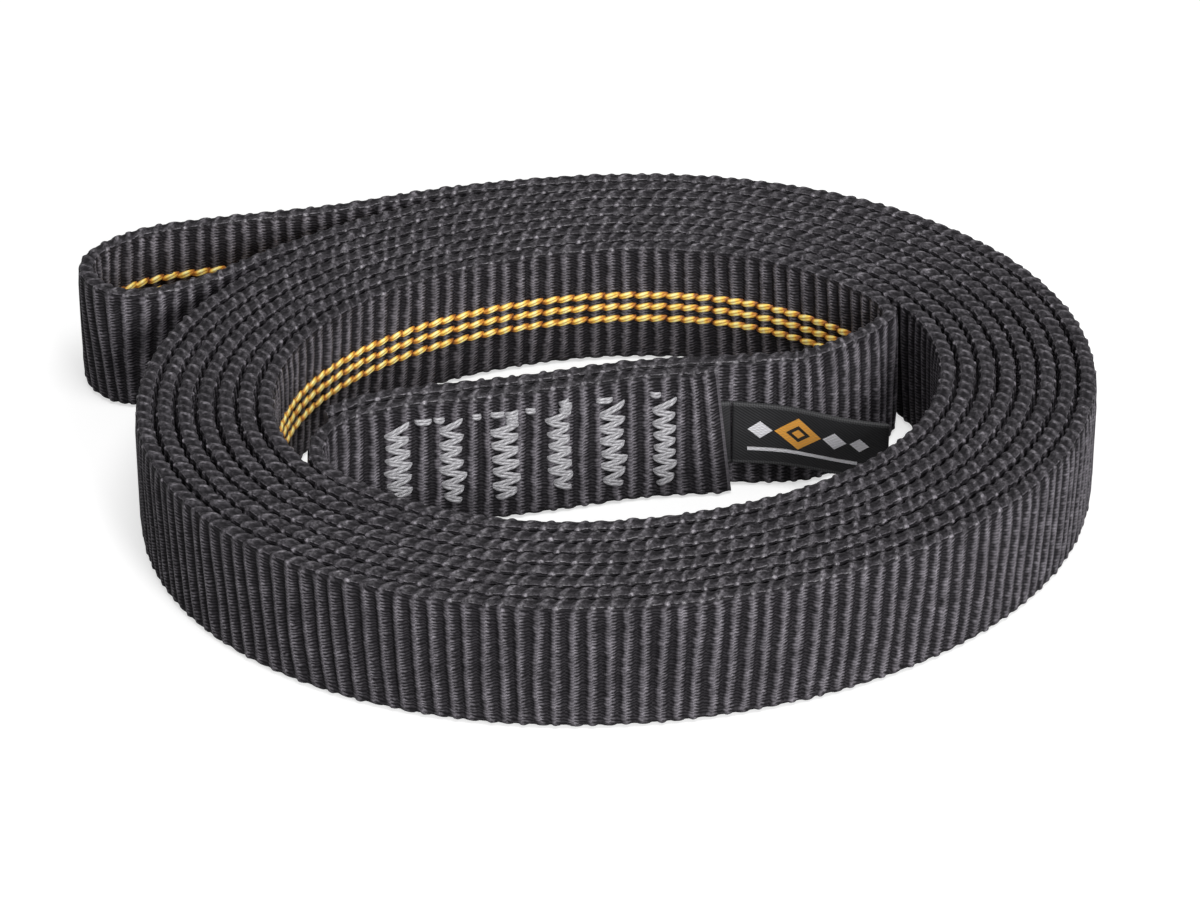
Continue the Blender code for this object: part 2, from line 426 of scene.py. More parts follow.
def route_middle(route, q_start, coil_points):
    """Middle of the box round the sections that the part's solid has."""
    p_start = q_start + coil_points
    last = len(route.arcs) - 1
    q_stations = round((coil_turns + q_last_share - q_first_share) * stations_per_turn)
    p_stations = round((coil_turns + p_first_share - p_last_share) * stations_per_turn)
    coiled = {*range(q_start, q_start + q_stations), *range(p_start, p_start + p_stations)}
    arcs = []
    for i, (start, end) in enumerate(zip(route.arcs, route.arcs[1:])):
        pieces = 1 if i in coiled else math.ceil((end - start) / fine_step)
        arcs.extend(np.linspace(start, end, pieces, endpoint=False))
    arcs.append(route.arcs[last])
    sides = np.array([[-web_thickness / 2], [web_thickness / 2]])
    plan = route.solid_points(np.array(arcs), sides, 0.0)[..., :2].reshape(-1, 2)
    return (plan.min(axis=0) + plan.max(axis=0)) / 2


route, back_start = webbing_route()
route_length = route.arcs[-1]
rib_pitch = route_length / rib_count


def smooth_step(value, low, high):
    t = np.clip((value - low) / (high - low), 0, 1)
    return t * t * (3 - 2 * t)


def tack_arc(number):
    return tack_inset + number * tack_pitch


def straight_tube(sides, stations):
    """A closed straight tube of unit radius along Z, with one station to each unit."""
    mesh = bmesh.new()
    bmesh.ops.create_grid(mesh, x_segments=sides, y_segments=stations - 1, size=0.5)
    seam = []
    for vert in mesh.verts:
        step = round((vert.co.x + 0.5) * sides)
        if step in (0, sides):
            seam.append(vert)
        turn = step / sides * math.tau
        vert.co = (math.cos(turn), math.sin(turn), round((vert.co.y + 0.5) * (stations - 1)))
    bmesh.ops.remove_doubles(mesh, verts=seam, dist=0.001)
    ends = [edge for edge in mesh.edges if edge.is_boundary]
    bmesh.ops.holes_fill(mesh, edges=ends, sides=0)
    bmesh.ops.recalc_face_normals(mesh, faces=mesh.faces[:])
    for edge in ends:
        edge.smooth = False
    return mesh


def row_of_copies(mesh, count):
    """Copies of everything in the mesh, in a row along X."""
    made = 1
    while made < count:
        more = min(made, count - made)
        verts = {vert for vert in mesh.verts if vert.co.x < copy_spacing * (more - 0.5)}
        faces = [face for face in mesh.faces if face.verts[0] in verts]
        geometry = [*verts, *{edge for face in faces for edge in face.edges}, *faces]
        added = bmesh.ops.duplicate(mesh, geom=geometry)["geom"]
        moved = [item for item in added if isinstance(item, bmesh.types.BMVert)]
        bmesh.ops.translate(mesh, verts=moved, vec=(copy_spacing * made, 0, 0))
        made += more


def finished_piece(name, mesh, place, material, body="sling"):
    """An object from a plain mesh whose points are put in place by a function, with its shader attributes."""
    data = bpy.data.meshes.new(name)
    mesh.to_mesh(data)
    mesh.free()
    plain = np.empty(len(data.vertices) * 3)
    data.vertices.foreach_get("co", plain)
    points, attributes = place(plain.reshape(-1, 3))
    data.vertices.foreach_set("co", points.astype(np.float32).ravel())
    for title, values in attributes.items():
        kind = "FLOAT_VECTOR" if values.ndim == 2 else "FLOAT"
        layer = data.attributes.new(title, kind, "POINT")
        layer.data.foreach_set("vector" if values.ndim == 2 else "value", values.astype(np.float32).ravel())
    data.polygons.foreach_set("use_smooth", np.ones(len(data.polygons), bool))
    data.update()
    data.materials.append(material)
    made = bpy.data.objects.new(name, data)
    bpy.context.collection.objects.link(made)
    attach(made, body)
    return made


# Shader maths


class Wire:
    """A shader socket that takes part in plain expressions."""

    def __init__(self, tree, socket=None):
        self.tree = tree
        self.socket = socket

    def node(self, kind, settings=None, sockets=None, out=0):
        """A new node: its settings first, then the values or links of its sockets."""
        made = self.tree.nodes.new(kind)
        for name, value in (settings or {}).items():
            if name == "stops":
                elements = made.color_ramp.elements
                for number, (at, color) in enumerate(value):
                    stop = elements[number] if number < 2 else elements.new(at)
                    stop.position = at
                    stop.color = (*color, 1)
            else:
                setattr(made, name, value)
        for name, value in (sockets or {}).items():
            if isinstance(value, Wire):
                self.tree.links.new(value.socket, made.inputs[name])
            else:
                made.inputs[name].default_value = value
        return Wire(self.tree, made.outputs[out])

    def math(self, operation, *values):
        return self.node("ShaderNodeMath", {"operation": operation}, dict(enumerate((self, *values))))

    def __add__(self, other):
        return self.math("ADD", other)

    __radd__ = __add__

    def __mul__(self, other):
        return self.math("MULTIPLY", other)

    __rmul__ = __mul__

    def __sub__(self, other):
        return self.math("SUBTRACT", other)

    def __rsub__(self, other):
        return self.math("MULTIPLY_ADD", -1, other)

    def __truediv__(self, other):
        return self.math("DIVIDE", other)

    def __pow__(self, other):
        return self.math("POWER", other)

    def __abs__(self):
        return self.math("ABSOLUTE")

    def __gt__(self, other):
        return self.math("GREATER_THAN", other)

    def __lt__(self, other):
        return self.math("LESS_THAN", other)

    def at_least(self, low):
        return self.math("MAXIMUM", low)

    def at_most(self, high):
        return self.math("MINIMUM", high)

    def limited(self):
        """Kept from 0 to 1."""
        return self.at_most(1.0).at_least(0.0)

    def wave(self):
        """From 0 to 1 and back for each unit, highest at the whole units."""
        return (self * math.tau).math("COSINE") * 0.5 + 0.5

    def parts(self):
        made = self.node("ShaderNodeSeparateXYZ", None, {0: self})
        return [Wire(self.tree, socket) for socket in made.socket.node.outputs]

    def vector(self, *values):
        return self.node("ShaderNodeCombineXYZ", None, dict(enumerate(values)))

    def attribute(self, name, out="Vector"):
        return self.node("ShaderNodeAttribute", {"attribute_name": name}, None, out)

    def blend(self, low, high):
        """A colour between two, by this share."""
        sockets = {}
        for number, value in ((6, low), (7, high)):
            sockets[number] = value if isinstance(value, Wire) else (*value, 1)
        sockets[0] = self
        return self.node("ShaderNodeMix", {"data_type": "RGBA"}, sockets, 2)

    def noise(self, place, scale, detail=2.0):
        return self.node("ShaderNodeTexNoise", None, {"Vector": place, "Scale": scale, "Detail": detail})

    def bump(self, height, distance, strength=1.0):
        sockets = {"Height": height, "Distance": distance, "Strength": strength}
        return self.node("ShaderNodeBump", None, sockets)


# Materials


def spot(*aways):
    """Highest where the distances, counted in half widths, are all 0, and 0 outside."""
    height = 1
    for away in aways:
        height = height - away**2
    return height.at_least(0.0)


def blank_material(name, **constants):
    """A material, its surface shader and a wire to start expressions from."""
    made = bpy.data.materials.new(name)
    made.use_nodes = True
    surface = made.node_tree.nodes["Principled BSDF"]
    for title, value in constants.items():
        surface.inputs[title.replace("_", " ")].default_value = value
    return made, surface, Wire(made.node_tree)


def feed(surface, **links):
    """Links wires to the surface's inputs."""
    for title, wire in links.items():
        wire.tree.links.new(wire.socket, surface.inputs[title.replace("_", " ")])


def rib_yarns(wire, along, girth, face):
    """How light the yarns on the ribs are, as painted sheen on their tops and painted shade in the grooves,
    each yarn's own chance, and the filaments that it is made of.
    """
    rib = along.math("FLOOR")
    within = along.math("FRACT") - 0.5
    ragged = within * ((face > 0) * 2 - 1)
    loose = wire.noise(wire.vector(along * 1.3, girth * 1100, face), 1.0)
    slant = (wire.noise(wire.vector(along / 45, girth * 90, face), 1.0) - 0.5) * 9

    column = ((ragged_from_share - ragged) * ragged_sharpness + 0.5).limited()
    yarn = girth / yarn_pitch + rib * 0.37 + within * slant + loose * 1.6 + column * 0.5
    dash = yarn.wave() ** 1.2
    cell = wire.vector(rib * 2 + column.math("ROUND"), (yarn + 0.5).math("FLOOR"), face > 0)
    odd = wire.node("ShaderNodeTexWhiteNoise", {"noise_dimensions": "3D"}, {"Vector": cell}, "Value")
    reach = yarn_reach_share - column * ragged_loss_share - odd * odd_loss_share
    tip = ((reach - abs(within)) * tip_sharpness).limited()
    # A narrow painted highlight line along each rib, off its middle
    core = spot((ragged + loose * 0.1 - highlight_place_share) / highlight_half_share)
    filament = wire.noise(wire.vector(along * 5, (yarn + odd) * 1.3, face), 1.0, 3.0)
    smooth = dash * 0.3 + 0.3
    teeth = dash * (odd * 0.5 + 0.5) * 0.75
    # The floats' light is painted sheen; past their tips lies painted shade in the grooves
    light = tip * (smooth + (teeth - smooth) * column + core * 0.25) * 0.9 + dash * 0.11
    return light, odd, filament


def edge_yarns(wire, weave, face, place, odd):
    """How light the yarns on the edges are, their relief, and where they are. The lightness paints light and
    glints on the knobs' tops, and shade in the hollows, slots and pits.
    """
    along, girth, crest = weave
    within = along.math("FRACT") - 0.5
    to_edge = girth.at_most(girth_length - girth)
    on_edge = ((edge_zone - to_edge) / edge_blur).limited()
    knobbed = (along.math("FLOOR") / 2).math("FRACT") > 0.25
    gap = abs(within) > gap_from_share
    # A painted glint on each rib's top
    painted_glint = spot(within / glint_half_share, to_edge / glint_half)
    lobe = spot(within / lobe_light_half_share, (to_edge - shoulder) / lobe_light_half)
    ply = wire.noise(wire.vector(along * 8, girth * 6500, face), 1.0, 3.0)
    grain = wire.noise(place, 2600.0, 2.0)
    yarn_line = spot((to_edge - line_place) / line_half) * gap
    # Painted shade in the slots below the shoulder lobes
    shaded_slot = spot((to_edge - shaded_slot_place) / shaded_slot_half) * gap
    # Painted shade in the pits along the edge's middle line
    seam = spot(to_edge / shaded_seam_half) * (abs(within) > shaded_seam_from_share) * 0.75
    shine = ply * 0.4 + lobe * (0.6 - knobbed * 0.25) + painted_glint * 0.35
    shine = 0.06 + shine * (0.48 + odd * 0.62)
    # Lighter where the knobs stand high, darker in the hollows between: painted light and shade
    light = (0.07 + crest * 0.83) * shine + ply * 0.08 + yarn_line * 0.22
    light = light * (1 - shaded_slot) * (1 - seam) * (grain * 3.8 - 0.9).at_least(0.15)
    cut = (along < cut_face_share) + (along > rib_count - cut_face_share)
    return light, ply * 0.5 + grain * 1.2 - shaded_slot * 0.5, on_edge, cut * ply * 0.5


def webbing_material():
    """Black polyamide: each rib has a smooth column of yarns and a ragged one, and knobs on the edges. Its
    light tones are painted sheen on the black yarns, its darkest painted shade in grooves and hollows.
    """
    constants = {"Specular_IOR_Level": 0.2, "Coat_Roughness": 0.36}
    made, surface, wire = blank_material("black_polyamide_webbing", **constants)
    weave = wire.attribute("weave").parts()
    face = wire.attribute("face", "Fac")
    place = wire.node("ShaderNodeTexCoord", out="Object")
    along, girth, _ = weave
    rib_light, odd, filament = rib_yarns(wire, along, girth, face)
    edge_light, edge_relief, on_edge, cut_light = edge_yarns(wire, weave, face, place, odd)

    patchy = wire.noise(place, 260.0, 3.0)
    speckle = wire.noise(place, 1100.0, 2.0)
    swelling = wire.noise(wire.vector(along.math("FLOOR") * 3.7, girth * 420, face), 1.0, 1.0)
    # The ribs' and edges' lightness: painted sheen on the yarns' tops, painted shade in the grooves and
    # hollows
    lit = rib_light + (edge_light - rib_light) * on_edge
    lit = lit * (0.45 + patchy * 0.75) * (0.45 + filament * 1.1)
    lit = lit * (0.25 + speckle * 1.5) * (0.6 + swelling * 0.8)
    shade = (lit + cut_light).at_most(1.0)
    relief = rib_light * 0.7 + filament * 0.35 + on_edge * edge_relief
    feed(
        surface,
        Base_Color=shade.blend((0.006, 0.0051, 0.0068), (0.335, 0.312, 0.348)),
        Roughness=0.68 - shade * 0.25,
        Coat_Weight=(shade * (0.15 + on_edge * 1.5)).at_most(1.0),
        Normal=wire.bump(relief, 0.00011),
    )
    return made


def thread_material():
    """Light grey polyester thread, two plies twisted together, painted lighter on each ply's crest and with
    painted shade between them.
    """
    made, surface, wire = blank_material("light_grey_thread")
    along, across, up = wire.attribute("lay").parts()
    angle = up.math("ARCTAN2", across) / math.tau
    ply = (angle * 2 + along / thread_twist).wave()
    filament = wire.noise(wire.vector(along * 900, angle * 4 + along / thread_twist, 0.0), 3.0, 2.0)
    # Painted light on the plies' crests, painted shade between them
    lit = (ply * 0.35 + (filament - 0.5) * 1.6 + 0.4).limited()
    feed(
        surface,
        Base_Color=lit.blend((0.13, 0.127, 0.135), (0.64, 0.63, 0.66)),
        Roughness=0.5 - ply * 0.12,
        Normal=wire.bump(ply * 0.6 + filament * 0.4, 0.00007, 0.8),
    )
    return made


def tracer_material():
    """Golden tracer yarn: a pale painted highlight where it floats highest, brown painted shade where it dips
    into the webbing, and a faint painted glow.
    """
    made, surface, wire = blank_material("golden_tracer_yarn", Emission_Strength=0.22)
    # The yarn gives off a faint painted glow of its own colour
    along, across, _ = wire.attribute("lay").parts()
    ends = abs(along)
    parting = (across * 1.0 + along * 0.4).wave()
    place = wire.node("ShaderNodeTexCoord", out="Object")
    fibres = wire.noise(place, 1500.0, 2.0)
    # Pale is a painted highlight, brown is painted shade; golden and amber are the yarn's own colour
    pale, brown = (1.0, 0.92, 0.40), (0.12, 0.035, 0.01)
    golden, amber = (1.0, 0.68, 0.12), (0.60, 0.24, 0.03)
    stops = ((0.0, pale), (0.85, brown), (0.36, golden), (0.62, amber))
    body = wire.node("ShaderNodeValToRGB", {"stops": stops}, {"Fac": ends + (fibres - 0.5) * 0.9}, "Color")
    # Painted shade along the parting between the yarn's two strands
    colour = (parting**3 * 0.75).blend(body, (0.36, 0.12, 0.015))
    feed(
        surface,
        Base_Color=colour,
        # Painted glow
        Emission_Color=colour,
        Roughness=0.38 + ends * 0.3,
        Normal=wire.bump(1 - parting + fibres * 0.5, 0.00007),
    )
    return made


def woven_ground(wire, along, away, twill):
    """The label's black twill, with lighter selvedges."""
    place = wire.node("ShaderNodeTexCoord", out="Object")
    patchy = wire.noise(place, 900.0, 2.0)
    ground = (twill * 0.6 + patchy * 0.3).blend((0.003, 0.003, 0.004), (0.03, 0.03, 0.033))
    edge = away > (label_top - label_bottom) / 2 - selvedge
    weft = (along / weft_pitch).wave()
    return (edge * (0.35 + weft * 0.65)).blend(ground, (0.075, 0.075, 0.078))


def label_material():
    """Black twill tape, woven with an orange lozenge between light grey ones, over a line."""
    made, surface, wire = blank_material("black_woven_label")
    along, height, front = wire.attribute("cloth").parts()
    middle = (label_bottom + label_top) / 2
    twill = ((along * 0.55 + height) / twill_pitch).wave()
    ground = woven_ground(wire, along, abs(height - middle), twill)

    def lozenge(centre, halves):
        return abs(along - centre) / halves[0] + abs(height - middle - motif_lift) / halves[1]

    big = lozenge(motif_place, big_lozenge)
    ring = (big < 1) * (1 - (big < 0.52) * (big > 0.28))
    before = lozenge(motif_place - middle_step, middle_lozenge) < 1
    after = lozenge(motif_place + middle_step, middle_lozenge) < 1
    last = lozenge(motif_place + small_step, small_lozenge) < 1
    under = abs(height - middle + line_drop) < line_half_height
    line = under * (abs(along - line_middle) < line_half_length)
    grey = ((before + after + last + line) * front).at_most(1.0)
    orange = ring * front
    colour = grey.blend(ground, (0.94, 0.94, 1.0))
    colour = orange.blend(colour, (1.0, 0.44, 0.04))
    sheen = (height / warp_pitch + twill * 0.15).wave() * (grey + orange)
    feed(
        surface,
        Base_Color=(sheen * 0.35).blend(colour, (0.30, 0.24, 0.18)),
        Roughness=0.6 - (grey + orange) * 0.15,
        Normal=wire.bump(twill * 0.5 + sheen * 0.5 + (grey + orange) * 0.8, 0.00006, 0.8),
    )
    return made


# Webbing


def round_profile(away):
    """Height of something round-topped, at a share of its half width from its middle."""
    return np.clip(1 - np.abs(away) ** rib_sharpness, 0, 1) ** rib_fullness


def webbing_section():
    """What is known of each point round the webbing.

    They are its depth, height and outward direction, how far round it is and how far round the edge it has
    turned, and how far it is from the edge's middle line.
    """
    steps = np.arange(ring_points)
    fold = ring_quarter - np.abs(steps % (2 * ring_quarter) - ring_quarter)
    turn = np.clip(fold - face_steps, 0, None) / (ring_quarter - face_steps) * math.pi / 2
    depth_side = np.where((steps > ring_quarter) & (steps < 3 * ring_quarter), -1, 1)
    height_side = np.where(steps > 2 * ring_quarter, -1, 1)
    rise = np.minimum(fold / face_steps, 1) * face_half + edge_rise * np.sin(turn) ** edge_power
    out = np.stack([np.cos(turn) * depth_side, np.sin(turn) * height_side], axis=-1)
    round_edge = (1 - turn * 2 / math.pi) * edge_quarter
    from_edge = np.where(fold > face_steps, round_edge, edge_quarter + face_half - rise)
    swollen = groove_depth + edge_swell * (1 - smooth_step(from_edge, *edge_swell_ends))
    depth = depth_side * np.clip(np.cos(turn), 0, 1) ** edge_swell_power * swollen
    girth = np.where(height_side > 0, from_edge, girth_length - from_edge)
    return depth, web_width / 2 + height_side * rise, out, girth, turn, from_edge


def slow_wander(arcs, waves, low, high):
    """A smooth value that wanders between two bounds along the webbing."""
    total = np.zeros_like(arcs)
    for length, phase in waves:
        total = total + np.sin(arcs / length * math.tau + phase)
    return low + (high - low) * (total / len(waves) * 0.5 + 0.5)


def lap_press(arcs, heights):
    """Share by which the bar tacks press the webbing in, on either layer of the lap."""
    press = np.zeros(np.broadcast(arcs, heights).shape)
    tall = smooth_step(heights, tack_bottom + press_foot[0], tack_bottom + press_foot[1])
    tall = tall * (1 - smooth_step(heights, tack_top + press_head[0], tack_top + press_head[1]))
    for start in (0, back_start):
        for number in range(tack_count):
            away = (arcs - start - tack_arc(number)) / press_half
            press = np.maximum(press, np.exp(-(away**4)) * tall)
    return press


def label_room(arcs, side):
    """Share by which the label flattens the ribs that it lies between."""
    front = (side < 0) * (1 - smooth_step(arcs, label_tab_length, label_tab_length + label_room_fade))
    back = (side > 0) * smooth_step(arcs, back_start + back_room[0], back_start + back_room[1])
    back_end = back_start + label_tab_length
    back = back * (1 - smooth_step(arcs, back_end, back_end + label_room_fade))
    return np.maximum(front, back)


def lap_squeeze(arcs, side, heights):
    """What the bar tacks and the label leave of the ribs' height."""
    pressed = 1 - tack_press_share * lap_press(arcs, heights)
    return pressed * (1 - label_press_share * label_room(arcs, side))


class Weave:
    """Where each point of the webbing's surface lies, by station and by step round."""

    def __init__(self):
        self.depth, self.height, self.out, self.girth, self.turn, self.from_edge = webbing_section()
        self.side = np.clip(self.depth / groove_depth, -1, 1)
        self.wobble = chance.normal(0, rib_wobble_share, (rib_count + 1, 3))
        self.swell = 1 + chance.normal(0, rib_swell_share, (rib_count, 2))
        self.nudge = chance.uniform(-1, 1, (rib_count, 2)) * np.array([nudge_along_share, nudge_across])

    def loose(self, ribs, height):
        """A rib's own small bend along the webbing, a share of the pitch. It blends into the next rib's."""
        across = height / web_width
        first = np.floor(ribs).astype(int)
        share = (ribs - first)[..., None]
        bend = self.wobble[first] * (1 - share) + self.wobble[first + 1] * share
        first_wave, second_wave = rib_wobble_waves
        waves = bend[..., 1] * np.sin(across * first_wave) + bend[..., 2] * np.cos(across * second_wave)
        return bend[..., 0] + waves

    def shift(self, arcs, ribs, side, height):
        """How far a rib is out of square, along the webbing: its foot is dragged towards the front."""
        low = np.clip(1 - height / web_width, 0, 1) ** drag_power
        wander = slow_wander(arcs, drag_waves, *drag_range)
        drag = -route.place(arcs)[1][..., 1] * wander * drag_share
        share = side * edge_slant_share / 2 + drag * low + self.loose(ribs, height)
        return share * rib_pitch

    def cut_lean(self, arcs, height):
        """How far the front layer's cut end leans, in metres along the webbing."""
        lean = cut_slant * (height / web_width - cut_slant_pivot_share)
        return lean * (1 - smooth_step(arcs, 0, cut_slant_length))

    def crests(self, ribs, within, edge):
        """Height of the ribs, as a share. On the edges each is a knob or a narrow loop."""
        knob = round_profile(within / knob_half_share) * round_profile(edge / knob_half) * knob_rise_share
        loop = round_profile(within / loop_half_share) * round_profile(edge / loop_half) * loop_rise_share
        lobe = round_profile(within / lobe_half_share) * round_profile((edge - shoulder) / lobe_half)
        over = np.maximum(np.where(ribs % 2, knob, loop), lobe * np.where(ribs % 2, odd_lobe_share, 1.0))
        over = valley_share + (1 - valley_share) * over
        share = smooth_step(edge, *edge_ends)
        return share * round_profile(within / rib_half_share) + (1 - share) * over

    def surface(self, stations):
        """Arc, depth and height of a table of points, and its shader attributes."""
        phase = (stations / rib_stations)[:, None]
        arcs = phase * rib_pitch
        side, height = self.side[None], self.height[None]
        ribs = np.clip(np.floor(phase), 0, rib_count - 1).astype(int)
        within = phase - ribs - 0.5
        edge = np.sin(self.turn)[None] ** 2
        near = 1 - smooth_step(self.from_edge[None], *nudge_ends)
        within = within + near * self.nudge[ribs, 0]
        moved = near * self.nudge[ribs, 1]
        crest = self.crests(ribs, within, self.from_edge[None] + moved)
        crest = crest * self.swell[ribs, (side < 0).astype(int)]
        end = np.minimum(arcs, route_length - arcs)
        whole = smooth_step(end, *cut_round)
        tall = rib_height * (1 - rib_fall_share * smooth_step(np.abs(height - web_width / 2), *rib_fall))
        rise = (tall * (1 - edge) + edge_rib_height * edge) * lap_squeeze(arcs, side, height)
        rise = rise * crest * (1 - cut_flat_share * (1 - whole))
        flat = 1 - cut_thin_share * (1 - whole)
        depths = (self.depth[None] + self.out[None, :, 0] * rise) * flat
        heights = height + self.out[None, :, 1] * rise
        inner = smooth_step(end, 0.0, cut_round[1])
        shifts = self.shift(arcs, np.clip(phase - 0.5, 0, rib_count - 1), side, height) * inner
        shifts = shifts + self.cut_lean(arcs, height)
        girth = self.girth[None] + np.where(height > web_width / 2, moved, -moved)
        # The crest share also goes to the shader, where it paints shade in the hollows between the edges'
        # knobs; it is darker near a cut end
        light = crest * (1 - cut_dark_share * (1 - whole))
        lines = np.broadcast_arrays(ribs + 0.5 + within, np.clip(girth, 0, girth_length), light)
        weave = np.stack(lines, axis=-1)
        faces = np.broadcast_to(side, crest.shape)
        return arcs + shifts, depths, heights, weave, faces

    def placed(self, first):
        """Function that puts a straight tube's points on the webbing, from a first station."""

        def place(plain):
            station = np.rint(plain[:, 2]).astype(int)
            step = np.rint(np.arctan2(plain[:, 1], plain[:, 0]) / math.tau * ring_points).astype(int)
            step = step % ring_points
            arcs, depths, heights, weave, faces = self.surface(first + np.arange(station.max() + 1.0))
            points = route.solid_points(arcs, depths, heights)
            return points[station, step], {"weave": weave[station, step], "face": faces[station, step]}

        return place

    def crest_place(self, ribs, heights):
        """Arc and depth of a traced rib's top at a height."""
        arcs = (ribs + 0.5) * rib_pitch
        depths = groove_depth + rib_height * lap_squeeze(arcs, -1.0, heights)
        return arcs + self.shift(arcs, ribs, -1.0, heights) + self.cut_lean(arcs, heights), depths


def make_webbing(weave, material, tracer):
    """The webbing's runs end to end, each with its tracer yarns and its flat length."""
    ribs = rib_count // web_pieces
    stations = ribs * rib_stations + 1
    made = []
    for number in range(web_pieces):
        tube = straight_tube(ring_points, stations)
        first = number * ribs * rib_stations
        piece = finished_piece(f"webbing_run_{number + 1}", tube, weave.placed(first), material)
        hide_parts("webbing_loop")
        lines = make_tracers(weave, number, ribs, tracer)
        made.append((piece, lines, ribs * rib_pitch))
    return made


def make_tracers(weave, number, ribs, material):
    """Three lines of golden floats along one run of the webbing's traced face."""
    mesh = bmesh.new()
    bmesh.ops.create_uvsphere(mesh, u_segments=tracer_sides, v_segments=tracer_sides, radius=1)
    row_of_copies(mesh, ribs * len(tracer_heights))

    def place(plain):
        copy = np.rint(plain[:, 0] / copy_spacing).astype(int)
        x, y, z = plain[:, 0] - copy_spacing * copy, plain[:, 1], plain[:, 2]
        rib = number * ribs + copy // len(tracer_heights)
        height = np.array(tracer_heights)[copy % len(tracer_heights)]
        arc, depth = weave.crest_place(rib, height)
        ends = (rib == 0) | (rib == rib_count - 1)
        along = z * tracer_length / 2 * (1 - tracer_cut_loss_share * ends)
        up = -y * tracer_width / 2
        arcs = arc + along * math.cos(tracer_tilt) - up * math.sin(tracer_tilt)
        heights = height + along * math.sin(tracer_tilt) + up * math.cos(tracer_tilt)
        depths = -(depth + tracer_lift - tracer_dip * z**4 + x * tracer_thickness / 2)
        return route.solid_points(arcs, depths, heights), {"lay": np.stack([z, y, x], axis=-1)}

    piece = finished_piece(f"tracer_run_{number + 1}", mesh, place, material)
    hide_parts("webbing_loop")
    return piece


# Sewing thread


def make_threads(name, paths, material, node):
    """Thread tubes along paths of arc, depth and height, each with the same number of points."""
    mesh = straight_tube(thread_sides, stroke_points)
    row_of_copies(mesh, len(paths))
    arcs, depths, heights = np.moveaxis(np.array(paths), -1, 0)
    lines = route.solid_points(arcs, depths, heights)
    away = route.solid_points(arcs, depths + 0.001, heights) - lines
    ways = np.gradient(lines, axis=1)
    ways /= np.linalg.norm(ways, axis=-1, keepdims=True)
    away -= ways * (away * ways).sum(axis=-1, keepdims=True)
    away /= np.linalg.norm(away, axis=-1, keepdims=True)
    across = np.cross(ways, away)
    spans = np.linalg.norm(np.diff(lines, axis=1), axis=-1)
    along = np.concatenate([np.zeros((len(paths), 1)), np.cumsum(spans, axis=1)], axis=1)
    along += chance.uniform(0, thread_shift, (len(paths), 1))
    sizes = thread_radius * np.sqrt(1 - thread_taper * np.linspace(-1, 1, stroke_points) ** 8)

    def place(plain):
        copy = np.rint(plain[:, 0] / copy_spacing).astype(int)
        x, y = plain[:, 0] - copy_spacing * copy, plain[:, 1]
        station = np.rint(plain[:, 2]).astype(int)
        up = away[copy, station] * x[:, None] * thread_flat_share
        round_it = up + across[copy, station] * y[:, None]
        points = lines[copy, station] + sizes[station][:, None] * round_it
        return points, {"lay": np.stack([along[copy, station], x, y], axis=-1)}

    piece = finished_piece(name, mesh, place, material)
    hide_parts(node)
    return piece


def stroke(start, end, seat, outwards, offset):
    """One thread of a stroke between two needle holes, which dips into the webbing at both."""
    t = np.linspace(0, 1, stroke_points)
    middle = 1 - np.abs(2 * t - 1) ** 4
    arcs = start[0] + (end[0] - start[0]) * t
    heights = start[1] + (end[1] - start[1]) * t + offset * (0.25 + 0.75 * middle)
    depths = seat + outwards * (thread_seat - stroke_dip * (1 - middle))
    return np.stack([arcs, depths, heights], axis=-1)


def tack_strokes(number, seat, outwards):
    """Both threads of every stroke of one bar tack's zigzag, which starts with a few short ones on some."""
    block = number in blocked_tacks
    top = stitch_tops[number]
    drops = [*block_drops] if block else [first_stroke_drop]
    left = top - stitch_bottoms[number] - sum(drops)
    even = round(left / stroke_drop)
    drops += [left / even] * even
    heights = top - np.concatenate([[0], np.cumsum(drops)])
    count = len(heights)
    heights[1:] += chance.normal(0, drop_scatter, count - 1)
    reach = tack_halves[number] + chance.normal(0, reach_scatter, count)
    sides = np.where(np.arange(count) % 2, 1, -1)
    reach[-2:] *= last_reach_share
    if block:
        reach[1:4:2] *= block_reach_share
    arc = tack_arc(number) + tack_shifts[number]
    holes = np.stack([arc + sides * reach, heights], axis=-1)
    paths = []
    for start, end in zip(holes, holes[1:]):
        for offset in (thread_radius, -thread_radius):
            paths.append(stroke(start, end, seat, outwards, offset * chance.uniform(0.85, 1.0)))
    return paths


def travel_paths(number):
    """The needle thread between two tacks: short floats, and sunk between the ribs elsewhere."""
    height = tack_top - travel_drop
    paths = []
    for first, last in travel_floats[number]:
        for offset in (travel_half, -travel_half):
            path = stroke((first, height), (last, height + travel_rise), 0, 1, offset)
            paths.append(path - np.array([0, travel_sink, 0]))
    t = np.linspace(0, 1, stroke_points)
    arcs = tack_arc(number) + tack_halves[0] + (tack_pitch - 2 * tack_halves[0]) * t
    heights = height + travel_sway * np.sin(arcs / travel_sway_length)
    paths.append(np.stack([arcs, np.full(stroke_points, travel_depth), heights], axis=-1))
    return paths


def make_sewing(material):
    """Both threads of every bar tack, and the travel stitches between the tacks."""
    for number in range(tack_count):
        needle = tack_strokes(number, 0, 1)
        make_threads(f"needle_stitches_{number + 1}", needle, material, f"needle_tack_{number + 1}")
        bobbin = tack_strokes(number, -strand_pitch, -1)
        make_threads(f"bobbin_stitches_{number + 1}", bobbin, material, f"bobbin_tack_{number + 1}")
    for number in range(tack_count - 1):
        paths = travel_paths(number)
        make_threads(f"travel_thread_{number + 1}", paths, material, f"travel_stitch_{number + 1}")


# Label


